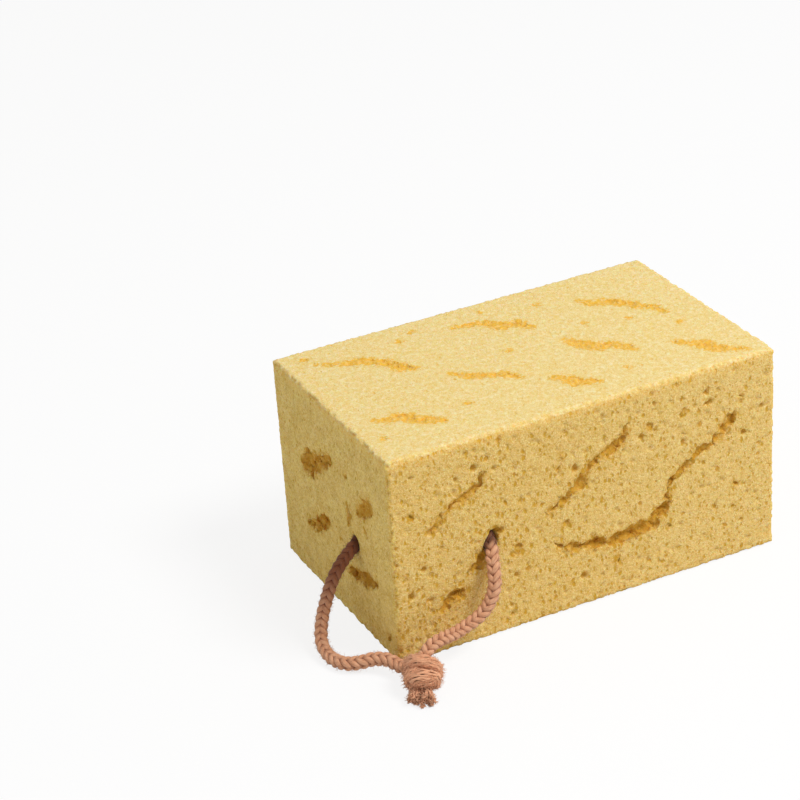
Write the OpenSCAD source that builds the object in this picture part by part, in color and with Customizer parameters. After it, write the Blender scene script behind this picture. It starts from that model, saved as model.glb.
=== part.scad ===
// Cleaning sponge: a block of open foam with torn cells, and a braided cord threaded through its near corner.
// The origin is at the middle of the block's underside, +X runs along its length and +Z is up.

/* [Block] */
// Length of the foam block, along X
block_l = 200; // [180:5:240]
// Width of the foam block, along Y
block_w = 120; // [100:5:150]
// Height of the foam block
block_h = 104; // [80:2:140]
// Radius of the block's worn edges
edge_r = 1.5; // [0.5:0.25:3]

/* [Tears] */
// Depth of a tear where it is widest
tear_depth = 8; // [4:0.5:12]
// Depth of a tear for each millimetre of its width
tear_steep = 1.3; // [0.8:0.1:2]
// Share of its width by which a tear's lip wanders
tear_rough = 0.4; // [0:0.05:0.45]
// Distance between the corners of a tear's lip
tear_step = 3; // [2.5:0.5:8]

/* [Cells] */
// Spacing of the large open cells
cell_pitch = 9; // [8:0.5:16]
// Width of the widest open cells
cell_max = 4.4; // [3.5:0.2:5.4]
// Width of the narrowest cells that are cut
cell_min = 2.2; // [1.4:0.2:3]
// Depth of a cell for each millimetre of its width
cell_steep = 0.7; // [0.4:0.1:1]
// Number of corners of a cell's lip
cell_sides = 6; // [5:1:8]
// Seed of the cells' places and sizes
cell_seed = 11; // [1:1:99]

/* [Cord] */
// Diameter of the braided cord
cord_d = 6; // [4:0.5:7]
// Clearance round the cord where it is threaded or knotted
cord_clear = 0.3; // [0.2:0.1:1]
// Number of flats round the cord
cord_sides = 10; // [8:1:12]

/* [Knot] */
// Diameter across the knot
knot_d = 19; // [17:0.5:22]
// Diameter of the cord in the turns of the knot
turn_d = 6.6; // [5:0.2:8]
// Length of the two loose ends past the knot
tail_l = 8; // [5:1:14]
// Width across the two frayed ends
tail_w = 13; // [11:0.5:16]
// Height of the cord's underside over the ground where it lies
ground_gap = 0.2; // [0.1:0.1:1]

/* [Hidden] */

// How far a cutter stands out of the face that it cuts
over = 1;
// Smooth rounds
$fn = 48;

// Colours, as the foam and the cord look in daylight
FOAM = [0.93, 0.83, 0.52];
CORD = [0.80, 0.57, 0.45];

// The near corner of the underside, which the cord passes round
near_corner = [-block_l / 2, -block_w / 2, 0];

// The cord's route from the knot round to the knot again, measured from the near corner.
// Each height is that of the cord's underside over where it lies.
from_knot = [[-1.5, -15.5, 4.5], [-3, -8, 2.5], [-6.5, -1, 3.5], [-11.5, 3.5, 3], [-17.5, 6.5, 1.5],
    [-22, 11.5, 0.5], [-24.5, 19, 0], [-24.5, 26.5, 2], [-22.5, 31.5, 6.5], [-20, 34, 13.5],
    [-18, 34, 20], [-16, 34, 25.5], [-13, 35, 30.5], [-9, 36.5, 34.5], [-5, 38, 37.5]];
hole_a = [0, 39, 41];
in_foam = [[8, 40, 46], [18, 39.5, 50], [28, 36, 52.5], [37.5, 29, 53.5], [44.5, 19.5, 52.5], [49, 9, 50]];
hole_b = [48.5, 0, 44.5];
to_knot = [[46.5, -4, 39.5], [45, -6.5, 35], [44, -8.5, 30], [42, -9, 25], [39, -9, 20.5],
    [34.5, -9, 17], [29, -9, 15], [23.5, -10, 14], [18, -12, 14.5], [13, -14, 15.5],
    [7.5, -16, 15], [1.5, -19.5, 12]];
loop_route = concat(from_knot, [hole_a], in_foam, [hole_b], to_knot);

// The knot's place, measured from the near corner, and the way that its loose ends point
knot_at = [0, -22, 0];
knot_turn = -120;
// How the knot's turns lie, as rotations of a turn round the line of the loose ends
knot_turns = [[0, 0, 8], [0, 42, 30], [0, -38, -28]];

// Tears of each face, in percent of the face's width and height, with the tear's width in millimetres.
// A face is seen from outside, and its corner at the lower left is 0, 0.
top_tears = [
    [[6, 87, 1.5], [13.5, 80, 3], [17.5, 78, 6], [21.5, 72, 6], [23.5, 64.5, 7], [27, 61, 1.5]],
    [[43, 85, 2], [50, 82, 5], [53, 76.5, 6.5], [57, 74, 6], [59.5, 65.5, 1.5]],
    [[75, 79.5, 1.5], [77, 73.5, 5], [81.5, 70.5, 7], [85.5, 62, 7], [88.5, 56.5, 4], [90, 47.5, 1.5]],
    [[62, 51.5, 2], [63.5, 44.5, 6], [67, 38.5, 7], [70, 38, 5], [72, 32, 6], [74, 28.5, 1.5]],
    [[82, 27.5, 1.5], [85.5, 21, 6], [88, 17, 7], [89.5, 11.5, 6], [95, 5, 1.5]],
    [[31, 51, 1.5], [34.5, 44.5, 4.5], [38, 41, 4], [41.5, 38.5, 5], [45, 31, 1.5]],
    [[50, 26, 2], [52, 23, 5], [53.5, 18, 7], [56.5, 15, 6], [59, 12, 1.5]],
    [[6, 33, 1.5], [9, 29.5, 4], [13, 29.5, 7], [14.5, 25, 5], [17.5, 21.5, 6], [20.5, 17, 1.5]]];
front_tears = [
    [[23.5, 81.5, 2], [22.5, 76.5, 3.5], [19, 73.5, 2.5], [16.5, 72, 4], [14, 68.5, 2.5], [10.5, 64, 4.5],
        [9, 60.5, 2]],
    [[60.5, 86, 1.5], [60, 80.5, 3.5], [58.5, 77, 6], [56, 74, 5], [52.5, 73, 2.5], [50, 68.5, 4],
        [47.5, 62.5, 4], [44, 58, 4], [40.5, 54.5, 3.5], [38, 51.5, 1.5]],
    [[90, 74, 2], [87.5, 70.5, 4.5], [85.5, 66, 4], [83, 62, 4], [79.5, 60, 3.5], [77, 57, 3],
        [75, 53.5, 4.5], [72, 50.5, 4.5], [71, 45.5, 3], [70.5, 40, 4], [69, 35.5, 6], [66.5, 31, 6.5],
        [62, 29.5, 6.5], [59, 28.5, 6], [55, 28.5, 5], [50.5, 30, 4.5], [46.5, 31.5, 4], [42.5, 33.5, 3],
        [40, 37.5, 1.5]],
    [[28, 53.5, 2], [25.5, 51, 4.5], [24.5, 47.5, 6], [22.5, 42.5, 4.5], [20.5, 38, 5], [18.5, 36.5, 1.5]],
    [[18, 28, 2], [15.5, 27.5, 6], [12.5, 23.5, 4.5], [11, 19, 1.5]],
    [[32, 42, 3], [30, 37, 2]]];
left_tears = [
    [[22, 58, 5], [29, 61.5, 13], [37, 66.5, 10], [44, 71, 8], [50.5, 75.5, 3]],
    [[71, 59.5, 3], [77.5, 65.5, 10], [84.5, 71.5, 4]],
    [[61, 60, 1.5], [63, 55, 5], [63, 50, 2]],
    [[23, 27, 3], [32, 32.5, 9], [38, 36.5, 7], [44.5, 41, 2]],
    [[57.5, 23, 2], [65, 26, 8], [73, 28, 7], [79, 30.5, 7], [85.5, 32.5, 2]]];
back_tears = [
    [[12, 70, 1.5], [19, 64, 4], [25, 55, 5], [33, 49, 4], [37, 41, 1.5]],
    [[50, 83, 1.5], [56, 75, 4.5], [65, 72, 5], [70, 64, 1.5]],
    [[58, 34, 1.5], [66, 30, 5], [75, 31, 5.5], [82, 38, 4], [86, 47, 1.5]]];
right_tears = [
    [[20, 72, 2], [31, 66, 7], [41, 60, 2]],
    [[54, 38, 2], [66, 32, 7], [79, 29, 2]],
    [[70, 74, 2], [76, 67, 5], [80, 60, 1.5]]];
under_tears = [
    [[15, 35, 1.5], [23, 28, 4.5], [32, 25, 5], [38, 17, 1.5]],
    [[60, 78, 1.5], [69, 73, 5], [78, 74, 4.5], [86, 66, 1.5]]];

// Each face of the block: its width and height, the place and turn of its lower left corner,
// the share of places that hold a large cell, its tears, and the middles of the cord's holes in it
FACES = [
    [[block_l, block_w], [-block_l / 2, -block_w / 2, block_h], [0, 0, 0], 0.18, top_tears, []],
    [[block_l, block_h], [-block_l / 2, -block_w / 2, 0], [90, 0, 0], 0.45, front_tears,
        [[hole_b.x, hole_b.z + ground_gap + cord_d / 2]]],
    [[block_w, block_h], [-block_l / 2, block_w / 2, 0], [90, 0, -90], 0.16, left_tears,
        [[block_w - hole_a.y, hole_a.z + ground_gap + cord_d / 2]]],
    [[block_l, block_h], [block_l / 2, block_w / 2, 0], [90, 0, 180], 0.3, back_tears, []],
    [[block_w, block_h], [block_l / 2, -block_w / 2, 0], [90, 0, 90], 0.2, right_tears, []],
    [[block_l, block_w], [-block_l / 2, block_w / 2, 0], [180, 0, 0], 0.12, under_tears, []]];

// A point part of the way from a to b
function between(a, b, t) = a + (b - a) * t;

// A vector's direction
function unit(v) = v / norm(v);

// The first two numbers of a point
function flat(p) = [p[0], p[1]];

// The faces of a solid skinned over rings of equally many points, closed at both ends
function skin(rings, sides) = concat(
    [[for (j = [0:sides - 1]) j]],
    [for (i = [0:rings - 2]) for (j = [0:sides - 1]) let (k = (j + 1) % sides)
        [i * sides + j, (i + 1) * sides + j, (i + 1) * sides + k, i * sides + k]],
    [[for (j = [sides - 1:-1:0]) (rings - 1) * sides + j]]);

// Where a route heads at its point i
function heading(route, i) = unit(route[min(i + 1, len(route) - 1)] - route[max(i - 1, 0)]);

// Directions across the route, each turned from the last as little as it can be
function across(route, i, side) = let (d = heading(route, i)) unit(side - d * (side * d));
function sides_along(route) = [for (i = 0, s = across(route, 0, [0, 0, 1]); i < len(route);
    i = i + 1, s = i < len(route) ? across(route, i, s) : s) s];

// A round tube of diameter d along a route
module tube(route, d) {
    side = sides_along(route);
    points = [for (i = [0:len(route) - 1]) for (j = [0:cord_sides - 1])
        let (turn = 360 * j / cord_sides)
        route[i] + (side[i] * cos(turn) + cross(heading(route, i), side[i]) * sin(turn)) * d / 2];
    polyhedron(points, skin(len(route), cord_sides), convexity = 6);
}

// The whole route at the cord's middle
function cord_route() = [for (p = loop_route) near_corner + p + [0, 0, ground_gap + cord_d / 2]];

// A tear's line in millimetres, with a corner every tear_step
function tear_line(tear, size) = let (
    line = [for (p = tear) [p[0] * size[0] / 100, p[1] * size[1] / 100, p[2]]])
    [for (i = [0:len(line) - 2])
        let (steps = max(1, round(norm(flat(line[i + 1] - line[i])) / tear_step)))
        for (k = [0:steps - 1]) between(line[i], line[i + 1], k / steps),
        line[len(line) - 1]];

// One tear, cut into the face z = 0: a ragged groove whose floor and lips wander
module tear(line, seed) {
    last = len(line) - 1;
    lips = rands(1 - tear_rough, 1 + tear_rough, 2 * len(line), seed);
    floors = rands(0.6, 1, len(line), seed + 1);
    drift = rands(-0.2, 0.2, len(line), seed + 2);
    flat_line = [for (p = line) flat(p)];
    points = [for (i = [0:last])
        let (
            d = heading(flat_line, i),
            n = [-d.y, d.x],
            half = line[i][2] / 2,
            left = half * lips[2 * i],
            right = half * lips[2 * i + 1],
            deep = min(tear_depth, tear_steep * line[i][2]) * floors[i],
            ring = [[-right * 0.8, -deep / 2], [half * drift[i], -deep], [left * 0.8, -deep / 2],
                [left, over], [-right, over]])
        for (r = ring) [each (flat_line[i] + n * r[0]), r[1]]];
    polyhedron(points, skin(last + 1, 5), convexity = 10);
}

// One large cell, cut into the face z = 0: an uneven cup
module cell(at, width, seed) {
    lips = rands(0.75, 1.1, cell_sides, seed);
    deep = cell_steep * width;
    points = [for (ring = [[0.4, -deep], [1, over]]) for (j = [0:cell_sides - 1])
        let (turn = 360 * j / cell_sides, r = ring[0] * lips[j] * width / 2)
        [at.x + r * cos(turn), at.y + r * sin(turn), ring[1]]];
    polyhedron(points, skin(2, cell_sides), convexity = 2);
}

// How far a point of a face is from the nearest lip of its tears and cord holes
function open_near(p, lines, holes) = min(concat(
    [for (line = lines) for (q = line) norm(p - flat(q)) - q[2] / 2 * (1 + tear_rough)],
    [for (h = holes) norm(p - h) - cord_d / 2 - cord_clear], [block_l]));

// The large cells of a face, one in each square of a grid that chance picks and nothing else is near
module cells(size, share, lines, holes, seed) {
    margin = edge_r + cell_max;
    count = [for (s = size) floor((s - 2 * margin) / cell_pitch)];
    pitch = [for (k = [0, 1]) (size[k] - 2 * margin) / count[k]];
    sway = (cell_pitch - cell_max) / 2;
    dice = rands(0, 1, 4 * count[0] * count[1], seed);
    for (i = [0:count[0] - 1]) for (j = [0:count[1] - 1]) {
        k = 4 * (i * count[1] + j);
        at = [margin + (i + 0.5) * pitch[0], margin + (j + 0.5) * pitch[1]]
            + sway * [2 * dice[k + 1] - 1, 2 * dice[k + 2] - 1] * 0.8;
        width = between(cell_min, cell_max, pow(dice[k + 3], 2));
        if (dice[k] < share && open_near(at, lines, holes) > width)
            cell(at, width, seed + k);
    }
}

// A block with rounded edges: what three rounded bars have in common
module rounded_bar(size, l) {
    translate([0, 0, -l / 2])
        linear_extrude(l) {
            square([size[0] - 2 * edge_r, size[1]], center = true);
            square([size[0], size[1] - 2 * edge_r], center = true);
            for (x = [-1, 1]) for (y = [-1, 1])
                translate([x * (size[0] / 2 - edge_r), y * (size[1] / 2 - edge_r)])
                    circle(edge_r, $fn = 24);
        }
}

module plain_block() {
    translate([0, 0, block_h / 2])
        intersection() {
            rounded_bar([block_l, block_w], block_h + 2 * over);
            rotate([90, 0, 0]) rounded_bar([block_l, block_h], block_w + 2 * over);
            rotate([90, 0, 90]) rounded_bar([block_w, block_h], block_l + 2 * over);
        }
}

// The foam block, with its tears and large cells and the way that the cord takes through it
module sponge_block() color(FOAM) {
    difference() {
        plain_block();
        for (f = [0:len(FACES) - 1]) {
            size = FACES[f][0];
            lines = [for (t = FACES[f][4]) tear_line(t, size)];
            translate(FACES[f][1]) rotate(FACES[f][2]) {
                for (i = [0:len(lines) - 1])
                    tear(lines[i], cell_seed + 10 * f + 3 * i);
                cells(size, FACES[f][3], lines, FACES[f][5], cell_seed + f);
            }
        }
        tube(cord_route(), cord_d + 2 * cord_clear);
    }
}

// The braided cord, one tube from the knot through the foam to the knot
module cord_loop() color(CORD) tube(cord_route(), cord_d);

// One turn of the cord round the knot
module knot_ring() {
    rotate([0, 90, 0])
        rotate_extrude()
            translate([(knot_d - turn_d) / 2, 0])
                circle(turn_d / 2, $fn = 32);
}

// One loose end, from inside the knot down to the ground, where its strands spread
module loose_end(side, rise) {
    end_r = turn_d / 2;
    hull() {
        translate([knot_d / 4, side * turn_d / 3, -rise / 4])
            sphere(end_r * 0.9, $fn = 20);
        translate([knot_d / 2 + tail_l, side * (tail_w / 2 - end_r), end_r + ground_gap - rise])
            rotate([0, -90, side * 12])
                cylinder(h = end_r / 2, r1 = end_r, r2 = end_r * 0.8, $fn = 20);
    }
}

// The socket in which one end of the cord's route sits, from its last point a to the one before it
module cord_socket(a, b) {
    d = b - a;
    translate(a)
        rotate([0, acos(d.z / norm(d)), atan2(d.y, d.x)])
            cylinder(h = norm(d), d = cord_d + 2 * cord_clear);
}

// The knot: turns of the cord round a core, and two loose ends that lie on the ground
module cord_knot() color(CORD) {
    rise = knot_d / 2 + ground_gap;
    route = cord_route();
    last = len(route) - 1;
    difference() {
        translate(near_corner + knot_at + [0, 0, rise])
            rotate([0, 0, knot_turn]) {
                sphere((knot_d - turn_d / 2) / 2);
                for (lie = knot_turns)
                    rotate(lie) knot_ring();
                for (side = [-1, 1])
                    loose_end(side, rise);
            }
        cord_socket(route[0], route[1]);
        cord_socket(route[last], route[last - 1]);
    }
}

sponge_block();
cord_loop();
cord_knot();
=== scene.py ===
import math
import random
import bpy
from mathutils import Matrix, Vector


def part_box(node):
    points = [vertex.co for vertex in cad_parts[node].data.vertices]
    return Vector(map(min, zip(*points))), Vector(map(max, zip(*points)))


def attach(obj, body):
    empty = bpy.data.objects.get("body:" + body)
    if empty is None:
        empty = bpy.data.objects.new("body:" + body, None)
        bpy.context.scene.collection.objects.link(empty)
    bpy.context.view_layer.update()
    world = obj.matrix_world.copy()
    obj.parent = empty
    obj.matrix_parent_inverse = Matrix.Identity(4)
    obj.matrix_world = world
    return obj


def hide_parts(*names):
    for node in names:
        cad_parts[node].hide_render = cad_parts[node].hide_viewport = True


bl_info = {
    "name": "Cleaning sponge",
    "version": (1, 0, 0),
    "blender": (4, 5, 0),
    "location": "3D View > Sidebar > Sponge",
    "description": "Dresses a block of washing foam and the braided cord through its corner",
    "category": "Object",
}

from collections import namedtuple

import bpy
from mathutils import Matrix, Vector, kdtree, noise

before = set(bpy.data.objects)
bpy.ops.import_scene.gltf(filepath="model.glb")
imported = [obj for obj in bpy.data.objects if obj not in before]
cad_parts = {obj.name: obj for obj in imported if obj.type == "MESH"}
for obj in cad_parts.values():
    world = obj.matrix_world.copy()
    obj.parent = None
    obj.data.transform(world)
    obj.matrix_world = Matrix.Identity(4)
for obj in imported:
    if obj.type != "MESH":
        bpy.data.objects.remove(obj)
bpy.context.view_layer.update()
MM = 0.001

# The foam block's lowest and highest corners, and the near corner that the cord passes round
BLOCK_LOW, BLOCK_HIGH = (Vector(c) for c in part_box("sponge_block"))
NEAR_CORNER = Vector((BLOCK_LOW.x, BLOCK_LOW.y, 0))

# The cord's diameter, its diameter over the crowns of the braid, and how far it stays off the ground
CORD_D = 6 * MM
COTTON_D = 6.7 * MM
GROUND_GAP = 0.2 * MM

# The cord's route, in mm from the near corner: along, across, and the height of the cord's underside.
# It is the route of the part's source, with points moved by up to 1.4 mm where the cord is in the open
FROM_KNOT = [
    (-1.5, -15.5, 4.5), (-3, -8, 2.5), (-6.5, -1, 3.5), (-11.5, 3.5, 3), (-17.5, 6.5, 1.5),
    (-22.5, 11, 0.5), (-25.2, 19, 0), (-25.4, 26.8, 2), (-23.6, 31.8, 6.5), (-21, 34.3, 13.2),
    (-18.8, 34.4, 19.6), (-16.6, 34.6, 25), (-13.4, 35.6, 30), (-9.4, 37, 34), (-5.2, 38.3, 37.1),
]
HOLE_A = (0, 39, 41)
IN_FOAM = [(8, 40, 46), (18, 39.5, 50), (28, 36, 52.5), (37.5, 29, 53.5), (44.5, 19.5, 52.5), (49, 9, 50)]
HOLE_B = (48.5, 0, 44.5)
TO_KNOT = [
    (47, -4.2, 39.5), (46, -7, 35), (45, -9, 29.8), (43, -9.6, 24.6), (39.8, -9.8, 19.9), (35.2, -9.8, 16.2),
    (29.6, -9.8, 14), (24, -10.8, 13), (18.4, -12.6, 13.6), (13.2, -14.6, 14.6), (7.6, -16.6, 14.3),
    (1.6, -20, 11.6),
]

# The pieces that the cord is made in
CORD_PARTS = {
    "cord_left": IN_FOAM[1::-1] + [HOLE_A] + FROM_KNOT[::-1],
    "cord_right": IN_FOAM[-2:] + [HOLE_B] + TO_KNOT,
    "cord_in_foam": IN_FOAM[1:-1],
}

# Distance between the points that a cord, a turn of the knot and a loose end are drawn with
CORD_STEP = 0.6 * MM
TURN_STEP = 0.7 * MM
END_STEP = 1 * MM

# The knot's place from the near corner in mm, its height over the ground, where its loose ends point, and
# how far the line through its turns dips towards them
KNOT_AT = (0, -22.6, 9.2)
KNOT_TURN = math.radians(-120)
KNOT_DIP = math.radians(26)

# Each turn of the knot. Its points give the distance along that line, the angle round it in degrees and the
# radius. wide and high are half its section, slack is how far its yarns wander, and twist how often they go
# round it. All lengths are in mm
KnotTurn = namedtuple("KnotTurn", "points wide high twist slack")
REAR_TURN = KnotTurn([
    (-4.6, 200, 4.6), (-4.4, 165, 5.7), (-3.6, 125, 6.1), (-2.8, 85, 6.2), (-2.2, 45, 6.3), (-1.8, 5, 6.4),
    (-1.4, -35, 6.3), (-1.0, -75, 6.2), (-0.6, -115, 6.0), (0.2, -150, 5.0), (1.2, -170, 3.4),
], wide=2.5, high=2.4, twist=0.5, slack=0.6)
FRONT_TURN = KnotTurn([
    (-4.6, 84, 4.4), (-2.6, 100, 3.8), (0.4, 128, 4.4), (1.8, 160, 5.5), (2.2, 195, 6.0), (2.4, 235, 5.9),
    (2.4, 270, 5.6), (2.6, 305, 5.8), (2.8, 340, 6.0), (3.0, 375, 5.8), (3.4, 410, 5.3), (3.9, 445, 4.8),
    (4.4, 480, 4.4), (4.6, 510, 3.4), (3.6, 540, 1.8),
], wide=2.4, high=2.2, twist=-0.7, slack=0.8)
CROSSING = KnotTurn([
    (1.5, 232, 5.6), (3.0, 222, 5.5), (4.5, 205, 4.6), (5.6, 165, 3.0), (5.9, 95, 2.4), (5.6, 45, 3.7),
    (4.4, 25, 5.2), (2.4, 18, 5.6),
], wide=1.9, high=1.5, twist=0.35, slack=1.1)

# The knot's filled middle, a dark core in full painted shade: places along the same line, and the radius
# at each, in mm
KNOT_CORE = [(-5.2, 2.0), (-3.5, 4.2), (-1, 4.6), (1.5, 4.2), (3.2, 3.0), (4.0, 1.0)]

# Each loose end, level with the ground: along, across and up from the knot's middle, in mm
END_LEFT = [(3.2, -1.4, -1.6), (5.6, -1.9, -4.2), (8.4, -3.0, -6.0), (11.6, -4.8, -6.9)]
END_RIGHT = [(3.2, 1.6, -1.8), (6.4, 1.7, -4.2), (9.8, 2.2, -5.8), (14.6, 2.6, -6.8)]

# Yarns in a turn and in a loose end, and half their thickness
TURN_YARNS = 19
TURN_YARN_R = 0.6 * MM
END_YARNS = 40
END_YARN_R = 0.58 * MM

# Loose fibres: how many stand off each millimetre of cord, each turn of the knot and each yarn's tip, and
# half their thickness on the cord and on the knot
CORD_FIBRES = 8
TURN_FIBRES = 1000
TIP_FIBRES = 22
CORD_FIBRE_R = 0.055 * MM
KNOT_FIBRE_R = 0.09 * MM

# Flats round a core, a yarn and a fibre, and how thick a fibre is at each of its points, as a share
CORE_SIDES = 8
YARN_SIDES = 6
FIBRE_SIDES = 3
FIBRE_TAPER = (1.0, 0.95, 0.85, 0.7, 0.35)

# How far along the yarn's pattern each strand or yarn starts after the one before
STRAND_SHIFT = 13 * MM
TURN_SHIFT = 17 * MM
END_SHIFT = 11 * MM

# The long front face's most open cells: along the face from the near corner, height, and radius
FRONT_CELLS = [(x * MM, z * MM, radius * MM) for x, z, radius in (
    (15, 46, 1.7), (8, 34, 1.9), (18, 29, 1.5), (52, 86, 1.3), (42, 89, 1.9), (33, 86, 1.4), (93, 73, 2.0),
    (135, 94, 1.3), (165, 86, 1.7), (150, 70, 1.4), (128, 79, 1.7), (183, 65, 1.8), (193, 76, 1.5),
    (96, 16, 2.0), (61, 28, 1.5), (55, 99, 1.4), (2, 52, 1.2), (167, 30, 1.3), (58, 13, 1.2), (58, 8, 1.2),
)]

# For each face of the block: how large the cells modelled there are as a share of the long front's, how much
# of the wander of their rims its tears show, and how much shallower than the solid's they are
FaceLook = namedtuple("FaceLook", "cells ragged rise")
FACE_LOOKS = {
    "end_near": FaceLook(cells=0.45, ragged=0.9, rise=0.6),
    "end_far": FaceLook(cells=0.5, ragged=0.9, rise=0.6),
    "side_near": FaceLook(cells=1.0, ragged=1.0, rise=0.56),
    "side_far": FaceLook(cells=0.9, ragged=1.0, rise=0.56),
    "flat_near": FaceLook(cells=0.4, ragged=0.7, rise=0.7),
    "flat_far": FaceLook(cells=0.5, ragged=0.5, rise=0.91),
}

# Deeper than any tear, but not as deep as the middle of the block
DEEPEST_TEAR = 18 * MM

# How far from the block's edges its faces are worn
EDGE_BAND = 1.8 * MM

# Points this deep are in a tear. Its rim is ragged round them, and fades out from 0.6 to 1.6 of the reach
TORN_DEPTH = 1.0 * MM
TORN_REACH = 2.2 * MM
TORN_FADE = 1.6

# The wander of the tears' rims: its broad and its fine waves, and the fine waves' share
RIM_WAVE = 3.6 * MM
RIM_RIPPLE = 1.7 * MM
RIPPLE_SHARE = 0.6

# No rim wanders within this distance of the cord's middle, and past the slope beyond it each one is free
GUARD_R = 3.5 * MM
GUARD_SLOPE = 2.5 * MM
GUARD_STEP = 2 * MM

# Near an edge of the block a point keeps at least EDGE_LEAST of its freedom, and EDGE_SLOPE past SKIN it
# has all of it. Down to SKIN it stays in the plane of its face, and INSIDE_SLOPE deeper it is free
SKIN = 0.3 * MM
EDGE_SLOPE = 3 * MM
EDGE_LEAST = 0.15
INSIDE_SLOPE = 1.2 * MM

# Depths at which a tear's wall draws back fully and a point counts as fully dug out, and how deep in the
# long front face its most open cells still reach
WALL_DEPTH = 0.8 * MM
DUG_DEPTH = 4 * MM
FRONT_DEPTH = 2 * MM

# Sizes of the slow changes along the tears' walls and of the nicks in the block's edges
WALL_WAVE = 9 * MM
NICK_WAVE = 2.2 * MM

# The cells all over: their smallest radius and how much larger they get, as shares of their spacing, the
# least number of its own that opens a cell, how deep its bowl is, and what spreads those numbers
CELL_LEAST = 0.15
CELL_MORE = 0.30
OPEN_FROM = 0.3
BOWL_DEPTH = 0.6
OWN_SPREAD = 9.7

# Where the wandering noise and the knot's random draws start
NOISE_SEED = 3
KNOT_SEED = 5

# Sizes of what the foam's colour is made of, from its grain to its broad patches
GRAIN = 0.62 * MM
FLECK = 1.1 * MM
SMALL_CELL = 1.25 * MM
CRUMB = 1.7 * MM
CELL_WANDER = 1.8 * MM
MIDDLE_CELL = 2.3 * MM
MOTTLE = 2.6 * MM
LARGE_CELL = 4.6 * MM
PATCH = 6 * MM

# The photograph's camera: its turn, height and roll in degrees, what it looks at, its distance, how far that
# point lies off the middle of the picture, and its lens, sensor and range
CAM_AZIMUTH = -24.905
CAM_HEIGHT = 27.542
CAM_ROLL = -4.002
CAM_TARGET = Vector((0, 0, 0.050))
CAM_DISTANCE = 1.172821
CAM_SLIDE = (0.059241, -0.026211)
CAM_LENS = 111.577
CAM_SENSOR = 36
CAM_RANGE = (0.05, 20)

# The stage: the floor's length, and the lamp's place, diameter and the point that it faces
FLOOR_SIZE = 12
LAMP_AT = Vector((0.68, -0.88, 1.71))
LAMP_SIZE = 0.8
LAMP_TOWARD = Vector((0, 0, 0.05))


# Lines and tubes

def clamp(value, low=0.0, high=1.0):
    return min(high, max(low, value))


def sweep_length(points):
    return sum((b - a).length for a, b in zip(points, points[1:]))


def on_route(p):
    """A point of the cord's route, at the cord's middle, in metres."""
    return NEAR_CORNER + Vector(p) * MM + Vector((0, 0, GROUND_GAP + CORD_D / 2))


def curve_point(a, b, c, d, t):
    """The point at share t from b to c, on a smooth curve through all four."""
    bend = 2 * a - 5 * b + 4 * c - d
    swing = 3 * b - a - 3 * c + d
    return (2 * b + (c - a) * t + bend * t * t + swing * t ** 3) / 2


def smooth(points, step):
    """A curve through the points, as points that lie step apart."""
    ends = [2 * points[0] - points[1]] + list(points) + [2 * points[-1] - points[-2]]
    parts = 12
    dense = []
    for four in zip(ends, ends[1:], ends[2:], ends[3:]):
        dense.extend(curve_point(*four, k / parts) for k in range(parts))
    dense.append(points[-1])
    count = max(2, round(sweep_length(dense) / step))
    gap = sweep_length(dense) / count
    even, walked, target = [dense[0]], 0.0, gap
    for a, b in zip(dense, dense[1:]):
        length = (b - a).length
        while walked + length >= target and len(even) < count:
            even.append(a.lerp(b, (target - walked) / length))
            target += gap
        walked += length
    even.append(dense[-1])
    return even


def headings(points):
    """The direction of the line at each of its points."""
    last = len(points) - 1
    return [(points[min(i + 1, last)] - points[max(i - 1, 0)]).normalized() for i in range(last + 1)]


def frames_along(points):
    """Heading, side and third direction at each point, turned as little as possible along the way."""
    found = []
    side = Vector((0, 0, 1))
    for heading in headings(points):
        side = (side - heading * side.dot(heading)).normalized()
        found.append((heading, side, heading.cross(side)))
    return found


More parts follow.
